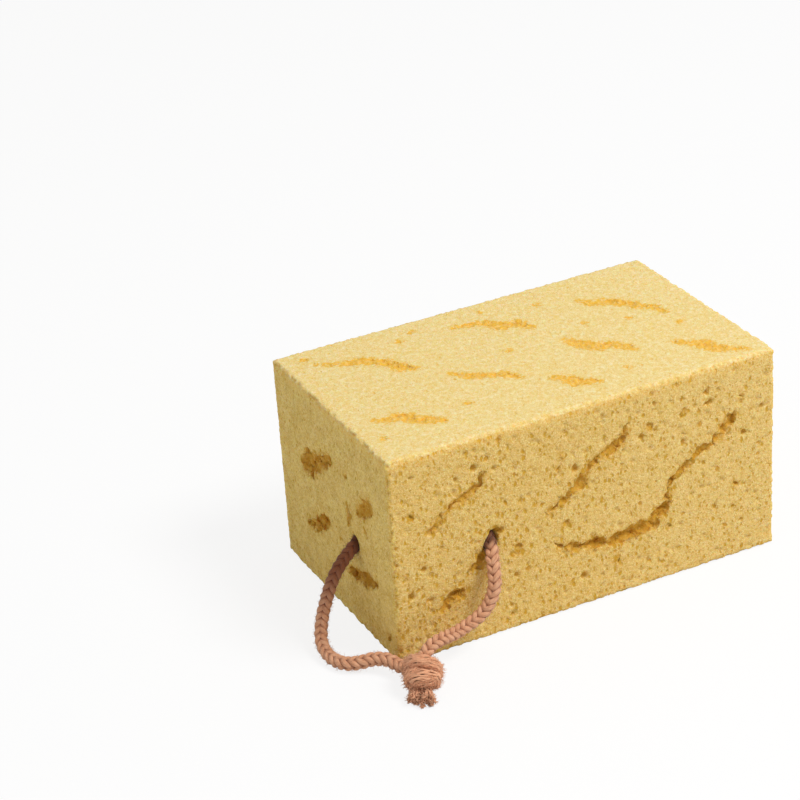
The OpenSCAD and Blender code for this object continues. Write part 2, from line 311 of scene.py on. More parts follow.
class TubeMesh:
    """Collects swept tubes in one mesh, with how far along and round each point is, and its painted shade."""

    # Painted shade round a tube: the share of its light that it keeps at its flanks, and what its outer side
    # adds, so that its inner side is darker still
    FLANK_SHADE = 0.65
    OUTER_SHADE = 0.35

    def __init__(self):
        self.points = []
        self.faces = []
        self.along = []
        self.shade = []

    def add(self, line, across, up, half_w, half_h, sides, shade, start=0.0):
        """A tube along line. across and up are its directions at each point, half_w and half_h its
        half sizes there, and shade its painted light at each point, from 0 deep in painted shade to 1 lit."""
        base = len(self.points)
        far = start
        for i, p in enumerate(line):
            if i:
                far += (p - line[i - 1]).length
            for k in range(sides):
                turn = 2 * math.pi * k / sides
                c, s = math.cos(turn), math.sin(turn)
                q = p + across[i] * (c * half_w[i]) + up[i] * (s * half_h[i])
                q.z = max(q.z, 0.0)
                self.points.append(q)
                self.along.append((far, k / sides))
                self.shade.append(clamp(shade[i] * (self.FLANK_SHADE + self.OUTER_SHADE * s)))
        last = len(line) - 1
        for i in range(last):
            for k in range(sides):
                j = (k + 1) % sides
                a, b = base + i * sides, base + (i + 1) * sides
                self.faces.append((a + k, a + j, b + j, b + k))
        self.faces.append(tuple(base + k for k in reversed(range(sides))))
        self.faces.append(tuple(base + last * sides + k for k in range(sides)))

    def add_round(self, line, radii, sides, shade, start=0.0):
        """A round tube along line, with its radius and shade at each point."""
        ways = frames_along(line)
        self.add(line, [w[1] for w in ways], [w[2] for w in ways], radii, radii, sides, shade, start)

    def build(self, name, material):
        mesh = bpy.data.meshes.new(name)
        mesh.from_pydata([tuple(p) for p in self.points], [], self.faces)
        uv = mesh.uv_layers.new(name="yarn")
        # Each point's painted light, from 0 in full painted shade; the cord's worn patches follow it too
        crown_and_painted_light = mesh.attributes.new("crown_and_painted_light", "FLOAT", "POINT")
        crown_and_painted_light.data.foreach_set("value", self.shade)
        for loop in mesh.loops:
            uv.data[loop.index].uv = self.along[loop.vertex_index]
        mesh.polygons.foreach_set("use_smooth", [True] * len(mesh.polygons))
        mesh.materials.append(material)
        obj = bpy.data.objects.new(name, mesh)
        bpy.context.scene.collection.objects.link(obj)
        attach(obj, "root")
        return obj


# The braid, and the yarns of the knot

def braid(tubes, line, diameter, cord):
    """Weaves the cord's strands round a line: half turn one way and half the other, each over two of
    the others and under the next two."""
    half = cord.strands // 2
    columns = half // 2
    pitch = cord.stitch * half
    high = diameter * cord.strand_high
    wide = diameter * cord.strand_wide
    wave = diameter * cord.wave
    ring = diameter / 2 - high - wave
    swell = 0.1
    # Painted shade along a strand: its level, and how much lighter it is over a crossing and darker under one
    shade_level, shade_change = 0.7, 0.4
    frames = frames_along(line)
    last = len(line) - 1
    step = sweep_length(line) / last
    for way in (1, -1):
        for k in range(half):
            spine, out, shade, half_w, half_h = [], [], [], [], []
            for i, p in enumerate(line):
                _, side, third = frames[i]
                turned = 2 * math.pi * (i * step / pitch + k / half)
                over = way * math.cos(columns * turned)
                swing = way * cord.swing / columns * math.sin(columns * turned)
                turn = way * (turned - swing)
                outward = side * math.cos(turn) + third * math.sin(turn)
                spine.append(p + outward * (ring + wave * over))
                out.append(outward)
                shade.append(shade_level + shade_change * over)
                half_w.append(wide * (1 - swell + swell * over))
                half_h.append(high * (1 - swell + swell * over))
            tangents = headings(spine)
            up = [(o - tangent * o.dot(tangent)).normalized() for o, tangent in zip(out, tangents)]
            across = [rise.cross(tangent) for rise, tangent in zip(up, tangents)]
            tubes.add(spine, across, up, half_w, half_h, cord.strand_sides, shade, STRAND_SHIFT * k)
    # A core in painted shade fills the gaps between the strands
    core, core_shade = diameter * 0.3, 0.3
    tubes.add_round(line, [core] * (last + 1), CORE_SIDES, [core_shade] * (last + 1))


def same_noise():
    """Starts noise_vector from a fixed place, because it would differ from run to run."""
    noise.seed_set(NOISE_SEED)


def drifted(p, size, far, seed):
    """A point moved by a slow wander, the same for the same point."""
    return p + noise.noise_vector(p / size + Vector((seed * 7.1, seed * 3.3, seed * 5.7))) * far


def bundle(tubes, line, turn, seed, out_from):
    """Lays slack yarns side by side round a line, as the cord's strands lie in a pulled knot. out_from
    is the point that the bundle's outer side faces away from."""
    wide, high, slack = turn.wide * MM, turn.high * MM, turn.slack * MM
    wander, thick_wave, shade_wave = 3.2 * MM, 2 * MM, 2.5 * MM
    core_share = 0.8
    last = len(line) - 1
    heads = headings(line)
    outs = []
    for p, head in zip(line, heads):
        away = p - out_from
        outs.append((away - head * away.dot(head)).normalized())
    sides = [head.cross(out) for head, out in zip(heads, outs)]
    core_w, core_h = [wide * core_share] * (last + 1), [high * core_share] * (last + 1)
    # A dark core in full painted shade under the yarns
    tubes.add(line, sides, outs, core_w, core_h, CORE_SIDES, [0.0] * (last + 1))
    for k in range(TURN_YARNS):
        spine, up = [], []
        for i, p in enumerate(line):
            angle = 2 * math.pi * (k / TURN_YARNS + turn.twist * i / last)
            outward = sides[i] * (math.cos(angle) * wide) + outs[i] * (math.sin(angle) * high)
            spine.append(drifted(p + outward, wander, slack, seed + k))
            up.append(outward.normalized())
        across = [u.cross(head) for u, head in zip(up, heads)]
        thick = [TURN_YARN_R * (0.85 + 0.3 * noise.noise(q / thick_wave)) for q in spine]
        shade = [1.1 + 0.5 * noise.noise(q / shade_wave) for q in spine]
        tubes.add(spine, across, up, thick, thick, YARN_SIDES, shade, TURN_SHIFT * k)


def fibre(tubes, start, heading, length, thick, chance, curl=0.6):
    """One loose fibre of cotton, a thin bent hair that tapers."""
    line = [start]
    way = heading.copy()
    parts = len(FIBRE_TAPER) - 1
    for _ in range(parts):
        bend = Vector([chance.uniform(-curl, curl) for _ in range(3)])
        way = (way + bend).normalized()
        further = line[-1] + way * (length / parts)
        further.z = max(further.z, thick + GROUND_GAP)
        line.append(further)
    thin = [thick * share for share in FIBRE_TAPER]
    bright = 1.5
    tubes.add_round(line, thin, FIBRE_SIDES, [bright] * len(line))


def fuzz(tubes, line, radius, count, thick, chance):
    """Short hairs that stand off a worn cord."""
    frames = frames_along(line)
    for _ in range(count):
        i = chance.randrange(1, len(line) - 1)
        heading, side, third = frames[i]
        turn = chance.uniform(0, 2 * math.pi)
        outward = side * math.cos(turn) + third * math.sin(turn)
        lean = heading * chance.uniform(-1.5, 1.5)
        start = line[i] + outward * radius
        start.z = max(start.z, GROUND_GAP)
        fibre(tubes, start, (outward + lean).normalized(), chance.uniform(0.8, 2.0) * MM, thick, chance)


def frayed_end(tubes, level, end, chance):
    """A loose end whose yarns part from each other, curl, and fray into fibres."""
    middle = smooth([level @ (Vector(p) * MM) for p in end], END_STEP)
    frames = frames_along(middle)
    last = len(middle) - 1
    # Painted shade in the cleft between the two ends, and how far from its middle it fades
    cleft, cleft_side = level.translation, level.col[1].to_3d()
    cleft_middle, cleft_fade = 0.2 * MM, 2.4 * MM
    # Turned by the golden section from yarn to yarn, the yarns fill a disc evenly
    golden = 0.618
    for k in range(END_YARNS):
        turn = 2 * math.pi * k * golden
        reach = math.sqrt((k + 0.5) / END_YARNS)
        keep = chance.uniform(0.6, 1.0)
        curl = chance.uniform(-1, 1)
        spine, shade = [], []
        for i in range(int(last * keep) + 1):
            share = i / last
            _, side, third = frames[i]
            # The yarns' middles fill a radius of 2 mm at the knot and of 4 mm at the end's tip
            spread = (2.0 + 2.0 * share ** 1.5) * MM * reach
            bend = turn + curl * share * 1.4
            q = middle[i] + side * (math.cos(bend) * spread) + third * (math.sin(bend) * spread)
            q = drifted(q, 2.2 * MM, (0.3 + 1.5 * share) * MM, k)
            q.z = max(q.z, 0.5 * MM + GROUND_GAP)
            spine.append(q)
            # Painted shade: yarns are darker by the knot, inside the end and in the cleft, lighter towards
            # their tips
            apart = abs((q - cleft).dot(cleft_side) - cleft_middle)
            outer = 0.3 + 2.2 * share * (0.5 + 0.5 * reach)
            shade.append(outer * clamp(apart / cleft_fade + 0.6 * share))
        thick = [END_YARN_R * (1 - 0.25 * i / last) for i in range(len(spine))]
        tubes.add_round(spine, thick, YARN_SIDES, shade, END_SHIFT * k)
        tip = spine[-1]
        heading = (spine[-1] - spine[-3]).normalized()
        for _ in range(TIP_FIBRES):
            spray = Vector([chance.uniform(-1, 1) for _ in range(3)])
            start = tip - heading * chance.uniform(0.0, 3.0) * MM
            way = (heading + spray * 0.8).normalized()
            length = chance.uniform(1.0, 2.4) * MM
            fibre(tubes, start, way, length, chance.uniform(0.1, 0.24) * MM, chance, curl=0.8)


# Shader nodes

class Socket:
    """A shader value with arithmetic: each operator adds its Math node."""

    def __init__(self, nodes, link):
        self.nodes = nodes
        self.link = link

    def math(self, operation, *others):
        return self.nodes.add("ShaderNodeMath", {"operation": operation}, [self, *others])[0]

    def __add__(self, other):
        return self.math("ADD", other)

    __radd__ = __add__

    def __sub__(self, other):
        return self.math("SUBTRACT", other)

    def __rsub__(self, other):
        return self.nodes.add("ShaderNodeMath", {"operation": "SUBTRACT"}, [other, self])[0]

    def __mul__(self, other):
        return self.math("MULTIPLY", other)

    __rmul__ = __mul__

    def __truediv__(self, other):
        return self.math("DIVIDE", other)

    def __pow__(self, other):
        return self.math("POWER", other)

    def low(self, other):
        return self.math("MINIMUM", other)

    def high(self, other):
        return self.math("MAXIMUM", other)

    def step(self, start, end):
        """0 at start, 1 at end, and a soft slope between."""
        settings = {"interpolation_type": "SMOOTHSTEP"}
        return self.nodes.add("ShaderNodeMapRange", settings, [self, start, end, 0.0, 1.0])[0]


class Nodes:
    """The nodes of a material or of the world. add() sets a node's settings first, then its sockets."""

    def __init__(self, tree):
        self.tree = tree
        self.tree.nodes.clear()

    def add(self, kind, settings=None, values=None):
        node = self.tree.nodes.new(kind)
        for key, value in (settings or {}).items():
            setattr(node, key, value)
        pairs = values.items() if isinstance(values, dict) else enumerate(values or [])
        for key, value in pairs:
            if isinstance(value, Socket):
                self.tree.links.new(value.link, node.inputs[key])
            else:
                node.inputs[key].default_value = value
        return [Socket(self, out) for out in node.outputs]

    def named(self, kind, output, settings=None, values=None):
        found = self.add(kind, settings, values)
        return next(s for s in found if s.link.name == output and s.link.enabled)

    def attribute(self, name):
        return self.named("ShaderNodeAttribute", "Fac", {"attribute_name": name})

    def place(self):
        return self.named("ShaderNodeTexCoord", "Object")

    def split(self, vector):
        return self.add("ShaderNodeSeparateXYZ", None, [vector])

    def vector(self, operation, *values):
        return self.add("ShaderNodeVectorMath", {"operation": operation}, values)[0]

    def join(self, x, y, z):
        return self.add("ShaderNodeCombineXYZ", None, [x, y, z])[0]

    def noise(self, vector, size, detail, rough):
        values = {"Vector": vector, "Scale": 1 / size, "Detail": detail, "Roughness": rough}
        return self.add("ShaderNodeTexNoise", {"noise_dimensions": "3D"}, values)[0]

    def cells(self, vector, size):
        """Distance from the middle of the nearest cell, in cells, and a number that is the cell's own."""
        values = {"Vector": vector, "Scale": 1 / size, "Randomness": 1.0}
        found = self.add("ShaderNodeTexVoronoi", {"feature": "F1"}, values)
        return found[0], self.add("ShaderNodeSeparateColor", None, [found[1]])[0]

    def mix(self, share, start, end):
        values = {0: share, 6: start, 7: end}
        return self.add("ShaderNodeMix", {"data_type": "RGBA"}, values)[2]

    def layers(self, colour, *layers):
        """Lays colours over the first one, each as strongly as its share."""
        for share, over in layers:
            colour = self.mix(share, colour, over)
        return colour

    def bump(self, height, distance, strength):
        values = {"Height": height, "Distance": distance, "Strength": strength}
        return self.named("ShaderNodeBump", "Normal", None, values)


def linear(red, green, blue):
    """A colour seen on screen, from 0 to 255, as the light that a shader takes."""
    def one(v):
        v /= 255
        return v / 12.92 if v <= 0.04045 else ((v + 0.055) / 1.055) ** 2.4
    return one(red), one(green), one(blue)


def rgba(colour):
    return (*colour, 1.0)


# The foam's and the cord's finish

def new_material(name):
    made = bpy.data.materials.new(name)
    made.use_nodes = True
    return made, Nodes(made.node_tree)


def cloth_surface(n, colour, normal, roughness, sheen=0.0, through=0.0):
    """A dull surface of foam or cotton, with hardly any gloss. through is how much light passes in."""
    values = {
        "Base Color": colour, "Roughness": roughness, "Specular IOR Level": 0.15, "Normal": normal,
        "Sheen Weight": sheen, "Subsurface Weight": through, "Subsurface Scale": 2.5 * MM,
        "Subsurface Radius": (1.0, 0.6, 0.25),
    }
    surface = n.add("ShaderNodeBsdfPrincipled", None, values)[0]
    n.add("ShaderNodeOutputMaterial", None, {"Surface": surface})


def foam_material(foam):
    """Open foam: pale cell walls, partly painted highlight, deeper yellow painted shade in the cells, orange
    brown painted shade down the tears, and paler colours on top, painted light from above.
    """
    made, n = new_material("sponge_foam")
    place = n.place()
    x, y, z = n.split(place)
    from_ends = (x - BLOCK_LOW.x).low(BLOCK_HIGH.x - x)
    from_sides = (y - BLOCK_LOW.y).low(BLOCK_HIGH.y - y)
    from_top = BLOCK_HIGH.z - z
    depth = from_ends.low(from_sides).low(from_top).low(z - BLOCK_LOW.z)
    torn = n.attribute("torn")
    dug = n.attribute("dug")

    # Shares that are 1 on the ends, on the top, close under the top's edge, and where a side is most open
    on_end = from_ends.step(2.5 * MM, 0.8 * MM)
    on_top = from_top.step(2.2 * MM, 0.6 * MM)
    off_top = 1.0 - on_top
    near_top = from_top.step(9 * MM, 5 * MM)
    under_top = from_top.step(8 * MM, 1 * MM) * off_top
    busy = x.step(70 * MM, -40 * MM) * off_top * (1.0 - on_end)
    # Cells are smaller on the ends and on the top
    calm = 1.0 - on_end * 0.4 - on_top * 0.5

    # Cells of three sizes. A slow wander bends them out of round, and the middle ones stand tall
    wander = n.add("ShaderNodeTexNoise", None, {"Vector": place, "Scale": 1 / CELL_WANDER, "Detail": 1.0})[1]
    bent = n.vector("MULTIPLY_ADD", wander, (1.6 * MM,) * 3, place)
    tall = n.vector("MULTIPLY", bent, (1.0, 1.0, 0.62))
    far_small, own_small = n.cells(bent, SMALL_CELL)
    far_middle, own_middle = n.cells(tall, MIDDLE_CELL)
    far_large, own_large = n.cells(bent, LARGE_CELL)
    size_small = own_small * 0.35 + 0.3
    size_middle = own_middle ** 1.15 * 0.46 * calm + torn * 0.22 + under_top * 0.1 + busy * 0.09 + 0.02
    size_large = own_large ** 4.0 * 0.36 * calm + 0.02
    # Holes of the three sizes; the colour below fills them with painted shade
    hole_small = 1.0 - (far_small / size_small).step(0.3, 1.05)
    hole_middle = 1.0 - (far_middle / size_middle).step(0.4, 1.05)
    hole_large = 1.0 - (far_large / size_large).step(0.5, 1.05)

    grain = n.noise(place, GRAIN, 2.0, 0.65)
    fleck = n.noise(place, FLECK, 1.0, 0.5)
    patch = n.noise(place, PATCH, 3.0, 0.65)
    crumbs = n.noise(place, CRUMB, 2.0, 0.6)
    mottle = n.noise(place, MOTTLE, 3.0, 0.6)

    # The colours of the walls, of the pale flecks that stand out on them (partly painted highlight), and of
    # the painted shade in three depths of hole. The top's copies are paler, painted light where the light
    # falls from above, and holes near the top take them too. Where a side is most open it is tinted with cell
    # shade
    top_deep = rgba(foam.top_deep)
    pale = n.mix(on_top, rgba(foam.side_fleck), rgba(foam.top_fleck))
    deep = n.mix(near_top, rgba(foam.deep), top_deep)
    tear = n.mix(near_top, rgba(foam.tear), top_deep)
    cell = n.layers(rgba(foam.cell), (on_top, rgba(foam.top_cell)), (under_top * 0.75, top_deep))
    flat = n.layers(rgba(foam.side), (on_end, rgba(foam.end)), (on_top, rgba(foam.top)), (busy * 0.16, cell))

    # How far a point is sunk in a cell or a tear, where painted shade goes, and where a torn face is lumpy
    # or broken
    sunk = (depth + crumbs * 3 * MM).step(2.4 * MM, 5.0 * MM)
    lowest = (depth + crumbs * 4 * MM).step(4.4 * MM, 8.0 * MM)
    lumps = depth.step(0.6 * MM, 1.6 * MM) * crumbs.step(0.42, 0.32) * (0.5 + fleck * 0.4)
    broken = (torn * 1.1 + crumbs * 2.6 + fleck * 0.9).step(2.35, 2.95)
    colour = n.layers(
        flat,
        (patch.step(0.35, 0.7) * (0.35 + on_end * 0.2), cell),
        (mottle.step(0.5, 0.68) * (0.3 + on_top * 0.3), cell),
        # Painted shade in the small cells
        (hole_small * (0.6 - on_top * 0.25 - on_end * 0.25), cell),
        # Pale flecks: partly the foam's grain, partly painted highlights on the cell walls
        (grain.step(0.46, 0.66) * 0.68, pale),
        (mottle.step(0.48, 0.34) * (0.2 + on_top * 0.4), pale),
        (fleck.step(0.52, 0.3) * (0.35 + on_end * 0.1), cell),
        # Painted shade in the middle and large cells, and in the open pores by the tears' rims
        (hole_middle * 0.95, cell),
        (hole_large * 0.85, deep),
        (torn * crumbs.step(0.45, 0.6) * 0.5, cell),
        # Painted shade under the faces and down the tears; lumps in a tear get painted light back
        (depth.step(0.3 * MM, 1.3 * MM) * 0.6, cell),
        (sunk * 0.85, deep),
        (lowest * 0.75, tear),
        (lumps, flat),
        # Painted light and shade in the broken, dug-out parts of the tears: pale orange on top, darker on
        # sides
        (broken.high(dug.step(0.05, 0.6) * 0.6) * on_top * 0.9, top_deep),
        (broken * torn * off_top * 0.35, deep),
        (dug.step(0.15, 0.8) * off_top * 0.4, deep),
    )
    height = grain * 0.4 + fleck * 0.3 - hole_small * 0.3 * calm
    height = height - hole_middle * 0.8 - hole_large - crumbs * 0.8
    normal = n.bump(height, 1.0 * MM, 0.55)
    cloth_surface(n, colour, normal, 0.92, through=0.45)
    return made


def cord_material(name, cord, body):
    """Dyed cotton: fine yarns along each strand, dusty where it is raised, and painted shade between and
    under the strands, in the holes, and where the block's shadow falls.
    """
    made, n = new_material(name)
    yarn = n.named("ShaderNodeUVMap", "UV", {"uv_map": "yarn"})
    along, around, _ = n.split(yarn)
    # Painted light at each point: 0 in full painted shade, 1 on a lit crown
    crown_and_painted_light = n.attribute("crown_and_painted_light")
    place = n.place()
    # Fibres run along the strand at a slight slant
    streaks = n.noise(n.join(along / (3.0 * MM), around * 9.0 + along / (6.0 * MM), 0.0), 1.0, 2.0, 0.6)
    hair = n.noise(place, 0.35 * MM, 3.0, 0.65)
    patch = n.noise(place, 3.5 * MM, 2.0, 0.5)
    # Painted shadow of the block on the cord towards the hole in the end face, and painted shade on the
    # cord inside both holes
    x, y, z = n.split(place)
    outside = (BLOCK_LOW.x - x).high(BLOCK_LOW.y - y)
    painted_shadow = z.step(14 * MM, 40 * MM) * (x - BLOCK_LOW.x).step(4 * MM, -2 * MM)
    hole_shade = outside.step(3.2 * MM, 0.8 * MM)
    shade, dusty = rgba(cord.shade), rgba(cord.dusty)
    colour = n.layers(
        shade,
        # Painted shade: the body colour where the yarns are lit, the shade colour between and under them
        (crown_and_painted_light.step(0.12, 0.92), rgba(body)),
        (patch.step(0.35, 0.75) * crown_and_painted_light.step(0.3, 0.9) * 0.4, dusty),
        (streaks.step(0.45, 0.7) * crown_and_painted_light.step(0.2, 0.9) * 0.5, dusty),
        (streaks.step(0.45, 0.3) * 0.3, shade),
        # Painted shadow of the block on the cord's stretch by the end face
        (painted_shadow * 0.8, shade),
        # Painted shade on the cord inside the holes
        (hole_shade * 0.85, rgba(cord.hole_shade)),
    )
    normal = n.bump(streaks * 0.6 + hair * 0.6, 0.35 * MM, 0.9)
    cloth_surface(n, colour, normal, 0.9, sheen=0.2)
    return made


# Sizes, colours and light that a user can change

def tint(name, description, red, green, blue):
    """A colour in the panel, given as it looks on screen."""
    return bpy.props.FloatVectorProperty(
        name=name, description=description, subtype="COLOR", default=linear(red, green, blue), min=0, max=1)


class SpongeFoam(bpy.types.PropertyGroup):
    """Sizes and colours of the foam block."""
    voxel: bpy.props.FloatProperty(
        name="Mesh size", description="Edge of the mesh faces that the block is worked in", default=0.85 * MM,
        min=0.5 * MM, max=5 * MM, unit="LENGTH")
    faces: bpy.props.IntProperty(
        name="Triangles", description="Most triangles that the finished block has", default=190000,
        min=20000, max=199000)
    ragged: bpy.props.FloatProperty(
        name="Ragged rims", description="How far the rims of the tears wander", default=1.9 * MM,
        min=0.0, max=5 * MM, unit="LENGTH")
    widen: bpy.props.FloatProperty(
        name="Tears opened", description="How far the walls of the tears draw back at most",
        default=1.5 * MM, min=0.0, max=3 * MM, unit="LENGTH")
    edge_wear: bpy.props.FloatProperty(
        name="Worn edges", description="How deep the nicks in the block's edges are", default=1.2 * MM,
        min=0.0, max=1.8 * MM, unit="LENGTH")
    cell_size: bpy.props.FloatProperty(
        name="Cell spacing", description="Spacing of the cells that are modelled", default=3.7 * MM,
        min=2 * MM, max=12 * MM, unit="LENGTH")
    side: tint("Sides", "Colour of the foam on its sides", 236, 202, 124)
    end: tint("Ends", "Colour of the foam on its ends", 248, 214, 120)
    # Paler on top: painted light where the light falls from above
    top: tint("Top", "Colour of the foam on top", 239, 213, 143)
    # Pale flecks on the cell walls: partly the foam's grain, partly painted highlight
    side_fleck: tint("Cell walls at the sides", "Colour of the cell walls on the sides", 250, 230, 168)
    top_fleck: tint("Cell walls on top", "Colour of the cell walls on top", 250, 234, 184)
    # Painted shade in cells and tears; the top's copies of these are paler, painted light from above
    cell: tint("In cells", "Colour inside a cell of the sides", 208, 160, 52)
    top_cell: tint("In cells on top", "Colour inside a cell of the top", 232, 192, 94)
    deep: tint("In large cells", "Colour at the bottom of a large cell", 208, 152, 48)
    top_deep: tint("In the tears of the top", "Colour down the tears of the top", 240, 184, 66)
    tear: tint("In tears", "Colour at the bottom of a tear", 198, 134, 36)


class SpongeCord(bpy.types.PropertyGroup):
    """Sizes and colours of the braided cord."""
    strands: bpy.props.IntProperty(
        name="Strands", description="Strands of the braid, half of them each way round", default=8,
        min=8, max=16, step=4)
    stitch: bpy.props.FloatProperty(
        name="Stitch", description="Length of cord from one stitch of a column to the next", default=3.6 * MM,
        min=2 * MM, max=10 * MM, unit="LENGTH")
    strand_wide: bpy.props.FloatProperty(
        name="Strand width", description="Half a strand's width, as a share of the cord's diameter",
        default=0.19, min=0.1, max=0.5, subtype="FACTOR")
    strand_high: bpy.props.FloatProperty(
        name="Strand height", description="Half a strand's height, as a share of the cord's diameter",
        default=0.16, min=0.1, max=0.5, subtype="FACTOR")
    wave: bpy.props.FloatProperty(
        name="Over and under", description="How far a strand rises over the rest, as a share of the diameter",
        default=0.048, min=0.0, max=0.3, subtype="FACTOR")
    swing: bpy.props.FloatProperty(
        name="Swing", description="How much straighter a strand runs where it lies on top", default=0.2,
        min=0.0, max=0.6, subtype="FACTOR")
    strand_sides: bpy.props.IntProperty(
        name="Strand sides", description="Flats round one strand", default=10, min=6, max=24)
    body: tint("Cord", "Colour of the dyed cotton", 217, 157, 119)
    knot: tint("Knot", "Colour of the worn cotton of the knot", 248, 184, 142)
    # Painted shade between and under the strands and in the cores
    shade: tint("Between strands", "Colour down between the strands", 124, 64, 40)
    # Painted shade: the cord's colour where it lies in the dark of the holes
    hole_shade: tint("In the holes", "Colour of the cord inside the foam", 84, 40, 16)
    dusty: tint("Worn cotton", "Colour of the cord where it is worn", 238, 190, 154)


class SpongeStage(bpy.types.PropertyGroup):
    """Levels of the light round the sponge."""
    key: bpy.props.FloatProperty(
        name="Main light", description="Power of the lamp above and to the right", default=25.5,
        min=0, max=200, unit="POWER")
    sky: bpy.props.FloatProperty(
        name="Sky", description="Strength of the light from all round", default=0.49, min=0, max=3,
        subtype="FACTOR")
    floor: bpy.props.FloatProperty(
        name="Floor", description="How much of its light the floor gives back to the sponge", default=0.82,
        min=0, max=1, subtype="FACTOR")


# The stage

def floor_material(stage):
    """A white floor that keeps the sponge's shadow, lifted to white where the camera sees it."""
    made, n = new_material("white_floor")
    rays = {s.link.name: s for s in n.add("ShaderNodeLightPath")}
    looked_at = rays["Is Camera Ray"].high(rays["Is Glossy Ray"]).high(rays["Is Transmission Ray"])
    colour = n.mix(looked_at, rgba((stage.floor,) * 3), (0.95, 0.95, 0.95, 1.0))
    plain = n.add("ShaderNodeBsdfDiffuse", None, {"Color": colour})[0]
    glow = n.add("ShaderNodeEmission", None, {"Color": (1.0, 1.0, 1.0, 1.0), "Strength": 1.0})[0]
    surface = n.add("ShaderNodeMixShader", None, [looked_at * 0.84, plain, glow])[0]
    n.add("ShaderNodeOutputMaterial", None, {"Surface": surface})
    return made


def white_world(sky):
    """Plain light from all round, and a white background."""
    world = bpy.data.worlds.new("studio")
    bpy.context.scene.world = world
    world.use_nodes = True
    n = Nodes(world.node_tree)
    camera = n.named("ShaderNodeLightPath", "Is Camera Ray")
    light = n.add("ShaderNodeBackground", None, {"Color": (1.0, 0.99, 0.97, 1.0), "Strength": sky})[0]
    white = n.add("ShaderNodeBackground", None, {"Color": (1.0, 1.0, 1.0, 1.0), "Strength": 1.0})[0]
    surface = n.add("ShaderNodeMixShader", None, [camera, light, white])[0]
    n.add("ShaderNodeOutputWorld", None, {"Surface": surface})


def need(found, message):
    """Stops the script where a piece can't be made."""
    if not found:
        raise RuntimeError(message)


def added(make, **settings):
    """Adds an object of the stage by one of Blender's operators, and gives it back."""
    need(make(**settings) == {"FINISHED"}, "An object of the stage wasn't made")
    return bpy.context.object


class SPONGE_OT_stage(bpy.types.Operator):
    """Sets up the camera, the white floor and the light"""
    bl_idname = "sponge.stage"
    bl_label = "Stage"

    def execute(self, context):
        stage = context.scene.sponge_stage
        azimuth, height, roll = (math.radians(a) for a in (CAM_AZIMUTH, CAM_HEIGHT, CAM_ROLL))
        back = Vector((
            math.sin(azimuth) * math.cos(height), -math.cos(azimuth) * math.cos(height), math.sin(height)))
        level = Vector((math.cos(azimuth), math.sin(azimuth), 0))
        upright = back.cross(level)
        right = level * math.cos(roll) + upright * math.sin(roll)
        up = upright * math.cos(roll) - level * math.sin(roll)
        place = CAM_TARGET + back * CAM_DISTANCE - right * CAM_SLIDE[0] - up * CAM_SLIDE[1]
        camera = added(bpy.ops.object.camera_add, location=place)
        camera.rotation_euler = Matrix((right, up, back)).transposed().to_euler()
        camera.data.sensor_width = CAM_SENSOR
        camera.data.lens = CAM_LENS
        camera.data.clip_start, camera.data.clip_end = CAM_RANGE
        context.scene.camera = camera
        floor = added(bpy.ops.mesh.primitive_plane_add, size=FLOOR_SIZE, location=(0, 0, 0))
        floor.name = "white_floor"
        floor.data.materials.append(floor_material(stage))
        white_world(stage.sky)
        lamp = added(bpy.ops.object.light_add, type="AREA", location=LAMP_AT)
        lamp.name = "main_light"
        lamp.data.shape = "DISK"
        lamp.data.size = LAMP_SIZE
        lamp.data.energy = stage.key
        lamp.rotation_euler = (LAMP_TOWARD - LAMP_AT).to_track_quat("-Z", "Y").to_euler()
        context.scene.view_settings.view_transform = "Standard"
        return {"FINISHED"}


# The knot and the cord

def turn_line(axis, points):
    """A turn of the knot as a smooth line in the scene."""
    placed = []
    for along, angle, radius in points:
        a = math.radians(angle)
        placed.append(axis @ (Vector((along, radius * math.cos(a), radius * math.sin(a))) * MM))
    return smooth(placed, TURN_STEP)


class SPONGE_OT_knot(bpy.types.Operator):
    """Ties the two ends of the cord in a knot and frays them"""
    bl_idname = "sponge.knot"
    bl_label = "Knot"

    def execute(self, context):
        need("cord_knot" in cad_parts, "The frame has no knot to dress")
        cord = context.scene.sponge_cord
        same_noise()
        level = Matrix.Translation(NEAR_CORNER + Vector(KNOT_AT) * MM) @ Matrix.Rotation(KNOT_TURN, 4, "Z")
        dipped = level @ Matrix.Rotation(KNOT_DIP, 4, "Y")
        tubes = TubeMesh()
        chance = random.Random(KNOT_SEED)
        core = [dipped @ (Vector((along, 0, 0)) * MM) for along, _ in KNOT_CORE]
        # The core is all painted shade
        tubes.add_round(core, [radius * MM for _, radius in KNOT_CORE], 2 * CORE_SIDES, [0.0] * len(core))
        for k, turn in enumerate((REAR_TURN, FRONT_TURN, CROSSING)):
            line = turn_line(dipped, turn.points)
            bundle(tubes, line, turn, k * 31, level.translation)
            fuzz(tubes, line, max(turn.wide, turn.high) * 1.2 * MM, TURN_FIBRES, KNOT_FIBRE_R, chance)
        for end in (END_LEFT, END_RIGHT):
            frayed_end(tubes, level, end, chance)
        obj = tubes.build("knot", cord_material("knot_cotton", cord, cord.knot))
        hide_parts("cord_knot")
        return {"FINISHED"}


